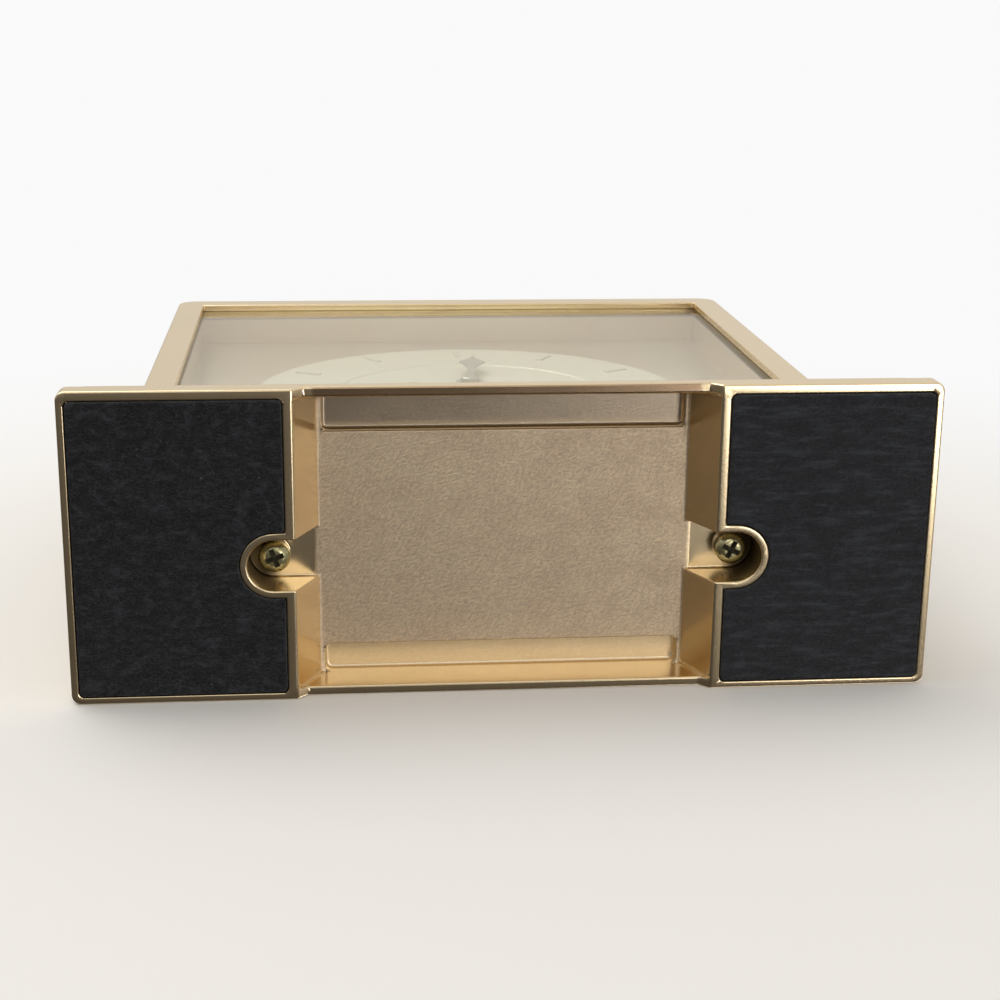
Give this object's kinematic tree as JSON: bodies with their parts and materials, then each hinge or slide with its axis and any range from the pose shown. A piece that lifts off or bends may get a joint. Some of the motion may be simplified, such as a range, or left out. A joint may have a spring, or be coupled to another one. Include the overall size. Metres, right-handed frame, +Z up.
{
  "type": "desk clock",
  "caption": "Square gold-cast desk clock on a plinth base with felt feet, glazed dial with spade hands, quartz movement, battery door and setting knob.",
  "frame": {"origin": "on the supporting surface under the middle of the base, felt undersides at z 0", "axes": "+Z up, the dial faces -Y, +X to the right seen from the front"},
  "size_m": [0.15, 0.055, 0.15],
  "materials": {
    "gold_casting": "satin",
    "black_felt": "matte",
    "yellow_zinc_screw": "polished",
    "clear_glass": "polished",
    "champagne_spacer": "satin",
    "champagne_dial": "satin",
    "pale_dial": "satin",
    "gold_marker": "polished",
    "grey_hand": "satin",
    "black_plastic": "matte",
    "dark_screw": "satin",
    "movement_plastic": "satin",
    "white_plastic": "satin",
    "turned_brass": "polished",
    "rubber_washer": "matte",
    "magnet_grey": "satin",
    "soft_iron": "satin",
    "copper_wire": "polished",
    "green_board": "satin",
    "black_resin": "polished",
    "steel_can": "polished",
    "battery_sleeve": "gloss",
    "contact_steel": "polished"
  },
  "bodies": {
    "case": {"base_casting": "gold_casting", "felt_pad_left": "black_felt", "felt_pad_right": "black_felt", "base_screws": "yellow_zinc_screw", "front_frame": "gold_casting", "glass": "clear_glass", "front_spacer": "champagne_spacer", "dial_plate": "champagne_dial", "dial_disc": "pale_dial", "chapter_ring": "pale_dial", "hour_markers": "gold_marker", "rear_spacer": "black_plastic", "rear_cover": "black_plastic", "cover_screws": "dark_screw", "movement_front_case": "movement_plastic", "movement_rear_case": "movement_plastic", "middle_plate": "movement_plastic", "centre_bush": "turned_brass", "dial_nut": "turned_brass", "dial_washer": "rubber_washer", "stator": "soft_iron", "coil_core": "soft_iron", "coil_bobbin": "white_plastic", "coil_winding": "copper_wire", "circuit_board": "green_board", "circuit_chip": "black_resin", "quartz_crystal": "steel_can", "battery": "battery_sleeve", "positive_contact": "contact_steel", "negative_contact": "contact_steel"},
    "battery_door": {"battery_door": "black_plastic"},
    "minute": {"minute_arbor": "turned_brass", "minute_hand": "grey_hand", "minute_cap": "turned_brass", "clutch_washer": "turned_brass"},
    "hour": {"hour_wheel": "white_plastic", "hour_hand": "grey_hand"},
    "minute_wheel": {"minute_wheel": "white_plastic"},
    "setting": {"setting_arbor": "white_plastic", "setting_knob": "black_plastic"},
    "seconds": {"seconds_wheel": "white_plastic"},
    "third": {"third_wheel": "white_plastic"},
    "centre": {"centre_wheel": "white_plastic"},
    "intermediate": {"intermediate_wheel": "white_plastic"},
    "rotor": {"rotor_pinion": "white_plastic", "rotor_magnet": "magnet_grey"}
  },
  "joints": [
    {"name": "door_hinge", "type": "hinge", "parent": "case", "child": "battery_door", "pos_m": [0, 0.0137, 0.0538], "axis": [-1, 0, 0], "range_deg": [0, 95]},
    {"name": "minute_hand_turn", "type": "hinge", "parent": "case", "child": "minute", "pos_m": [0, -0.0023, 0.086], "axis": [0, 1, 0], "continuous": true},
    {"name": "hour_hand_turn", "type": "hinge", "parent": "case", "child": "hour", "pos_m": [0, -0.0036, 0.086], "axis": [0, 1, 0], "continuous": true},
    {"name": "minute_wheel_turn", "type": "hinge", "parent": "case", "child": "minute_wheel", "pos_m": [0.01039, -0.0023, 0.092], "axis": [0, 1, 0], "continuous": true},
    {"name": "knob_turn", "type": "hinge", "parent": "case", "child": "setting", "pos_m": [0.02078, -0.0023, 0.098], "axis": [0, 1, 0], "continuous": true},
    {"name": "seconds_wheel_turn", "type": "hinge", "parent": "case", "child": "seconds", "pos_m": [0, 0.0033, 0.086], "axis": [0, 1, 0], "continuous": true},
    {"name": "third_wheel_turn", "type": "hinge", "parent": "case", "child": "third", "pos_m": [-0.0115, 0.0019, 0.08181], "axis": [0, 1, 0], "continuous": true},
    {"name": "centre_wheel_turn", "type": "hinge", "parent": "case", "child": "centre", "pos_m": [0, -0.0011, 0.086], "axis": [0, 1, 0], "continuous": true},
    {"name": "intermediate_wheel_turn", "type": "hinge", "parent": "case", "child": "intermediate", "pos_m": [-0.00525, 0.0047, 0.09509], "axis": [0, 1, 0], "continuous": true},
    {"name": "rotor_turn", "type": "hinge", "parent": "case", "child": "rotor", "pos_m": [-0.01245, 0.0047, 0.09509], "axis": [0, 1, 0], "continuous": true}
  ],
  "couplings": [
    {"joint": "hour_hand_turn", "follows": "minute_hand_turn", "ratio": 0.083333},
    {"joint": "minute_wheel_turn", "follows": "minute_hand_turn", "ratio": -0.33333},
    {"joint": "knob_turn", "follows": "minute_hand_turn", "ratio": 1},
    {"joint": "third_wheel_turn", "follows": "seconds_wheel_turn", "ratio": -0.13333},
    {"joint": "centre_wheel_turn", "follows": "seconds_wheel_turn", "ratio": 0.016667},
    {"joint": "intermediate_wheel_turn", "follows": "seconds_wheel_turn", "ratio": -6},
    {"joint": "rotor_turn", "follows": "seconds_wheel_turn", "ratio": 30}
  ]
}
